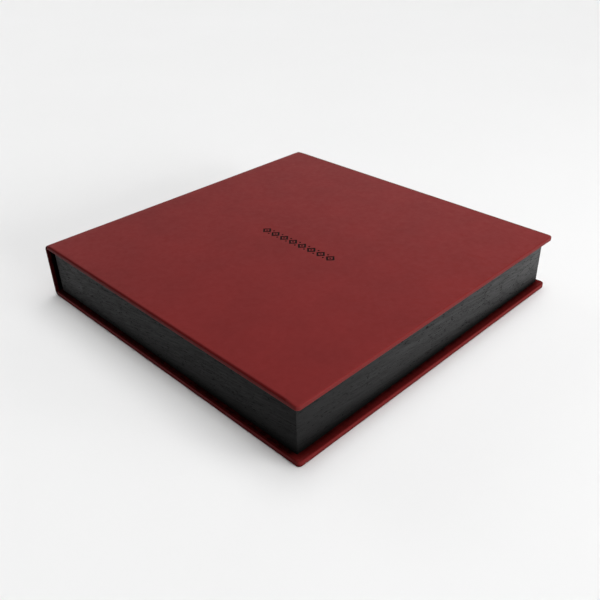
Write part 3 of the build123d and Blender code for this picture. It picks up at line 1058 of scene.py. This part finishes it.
def settle(piece, node, body):
    """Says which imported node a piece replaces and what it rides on"""
    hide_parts(node)
    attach(piece, body)


# Camera, as it stood for the photograph
FOCAL_LENGTH = 42.505
SENSOR = 36.0
CAMERA_AZIMUTH = 45.873
CAMERA_ELEVATION = 32.025
CAMERA_ROLL = -1.525
CAMERA_DISTANCE = 685.22
CAMERA_TARGET = (14.18, -11.58, 0.0)


def make_camera():
    camera = add_object("camera", bpy.data.cameras.new("camera"))
    camera.data.lens = FOCAL_LENGTH
    camera.data.sensor_width = SENSOR
    place = Matrix.Translation(Vector(CAMERA_TARGET) * MM)
    for axis, turn in (("Z", CAMERA_AZIMUTH), ("X", 90 - CAMERA_ELEVATION), ("Z", CAMERA_ROLL)):
        place @= Matrix.Rotation(radians(turn), 4, axis)
    camera.matrix_world = place @ Matrix.Translation((0, 0, CAMERA_DISTANCE * MM))
    bpy.context.scene.camera = camera


# Studio: pale floor, large soft lamps and a dim room
FLOOR_REACH = 4000.0
FLOOR_DROP = 0.05  # just clear of the leather
FLOOR_TONE = 0.88
FLOOR_BOUNCE_TONE = 0.5  # the floor is duller to the box than to the eye
ROOM_TONE = 0.01
BACKDROP_TONE = 0.92
MIRROR_SHARE = 0.82  # share of the seen floor and backdrop that mirrors show


def seen_share(m):
    """How much of the seen tone shows: all to the eye and through glass, some in mirrors, none as light"""
    path = m.add("LightPath", {}).outputs
    share = m.times(path["Is Glossy Ray"], MIRROR_SHARE)
    for other in ("Is Camera Ray", "Is Transmission Ray"):
        share = m.math("MAXIMUM", share, path[other])
    return share


def make_floor():
    shape = Shape()
    corners = ((-1, -1), (1, -1), (1, 1), (-1, 1))
    shape.face([shape.point(x * FLOOR_REACH, y * FLOOR_REACH, -FLOOR_DROP) for x, y in corners])
    m = Maker("floor", Specular_IOR_Level=0.1)
    place = m.rest()
    clouds = m.range(m.noise(place, 0.004), 0.3, 0.7, -0.004, 0.004)
    tone = m.sum(clouds, (seen_share(m), FLOOR_TONE - FLOOR_BOUNCE_TONE), FLOOR_BOUNCE_TONE)
    finished = m.finish(m.joined(tone, tone, tone), 0.9, m.bump(m.noise(place, 0.5, 3), 0.02))
    shape.piece("floor", (finished,))


def make_world():
    """Dim room for the light, pale backdrop for the eye and for mirrors"""
    m = Maker("studio", "worlds")
    white = (1, 1, 1, 1)
    room = m.nodes["Background"]
    m.feed(room.inputs["Color"], white)
    m.feed(room.inputs["Strength"], ROOM_TONE)
    backdrop = m.add("Background", {"Color": white, "Strength": BACKDROP_TONE})
    mixed = m.add("MixShader", {0: seen_share(m), 1: room.outputs[0], 2: backdrop.outputs[0]})
    m.feed(m.nodes["World Output"].inputs["Surface"], mixed.outputs[0])
    bpy.context.scene.world = m.made


def hang(name, tilt, azimuth, energy, kind="SUN", distance=2.0, **settings):
    """Lamp that faces the box, tilt degrees from overhead; the light of a sun is level all over the floor"""
    data = bpy.data.lights.new(name, kind)
    data.energy = energy
    for key, value in settings.items():
        setattr(data, key, value)
    tilt, azimuth = radians(tilt), radians(azimuth)
    level = sin(tilt)
    place = distance * Vector((level * cos(azimuth), level * sin(azimuth), cos(tilt)))
    lamp = add_object(name, data)
    lamp.location = place
    lamp.rotation_mode = "QUATERNION"
    lamp.rotation_quaternion = (-place).to_track_quat("-Z", "Y")


make_camera()
make_floor()
make_world()
hang("overhead", 0, 0, 1.41, angle=radians(26))
hang("key", 24, 114, 0.84, angle=radians(36))
hang("side", 35, 45, 0.38, angle=radians(30))
hang("low fill", 79, 0, 1.45, angle=radians(20))
hang("low fill right", 80, 30, 0.58, angle=radians(16))
hang("low back", 72, 120, 0.15, angle=radians(30))
hang("low left", 72, 180, 0.43, angle=radians(30))
hang("near fill", 60, 30, 1.6, "AREA", 1.1, shape="DISK", size=0.6)
bpy.context.scene.view_settings.view_transform = "Standard"

# Case: height of each cover's outer face, the way into it, its thickness and its ease at the joint
COVERS = (("lid", lid_high.z, -1, lid_thickness, HINGE_EASE), ("base", base_low.z, 1, base_thickness, 0))
for cover, outer_z, inward, thickness, ease in COVERS:
    skin = cover_skin(f"{cover}_skin", outer_z, inward, thickness, ease, cover == "lid")
    settle(skin, f"{cover}_leather", cover)

spine_leather = spine_skin("spine_skin")
settle(spine_leather, "spine_leather", "spine")

lid_joint = joint_skin("lid_joint_skin", spine_high.z, 90, HINGE_EASE)
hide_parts("lid_joint_leather")
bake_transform(lid_joint)

base_joint = joint_skin("base_joint_skin", spine_low.z, 180, 0)
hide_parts("base_joint_leather")
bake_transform(base_joint)

for cover, outer_z, inward, thickness, _ in COVERS:
    sheet = cover_sheet(f"{cover}_pasted_sheet", outer_z, inward, thickness)
    settle(sheet, f"{cover}_lining", cover)

spine_lining = spine_sheet("spine_pasted_sheet")
settle(spine_lining, "spine_lining", "spine")

# Tray
for side, side_name in enumerate(SIDES):
    wall = mitred_board(f"{side_name}_wall", side, wall_section(), WALL_CORNER, black_wood)
    if side_name == "fore_edge":
        cut_magnet_seats(wall)
    settle(wall, f"tray_{side_name}_wall", "base")
    strip = mitred_board(f"{side_name}_wall_suede", side, lining_section(), 0, suede)
    settle(strip, f"{side_name}_wall_lining", "base")

floor_suede = floor_sheet("floor_suede")
settle(floor_suede, "floor_lining", "base")

lift_ribbon = ribbon_mesh("lift_ribbon_satin")
settle(lift_ribbon, "lift_ribbon", "base")

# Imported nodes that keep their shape
finishes = {
    grey_board: ("lid_board", "spine_board", "base_board"),
    plywood: ("tray_floor", "corner_tongues"),
    nickel: ("lid_magnets", "rim_magnets"),
}
for material, nodes in finishes.items():
    for node in nodes:
        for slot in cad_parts[node].material_slots:
            slot.material = material
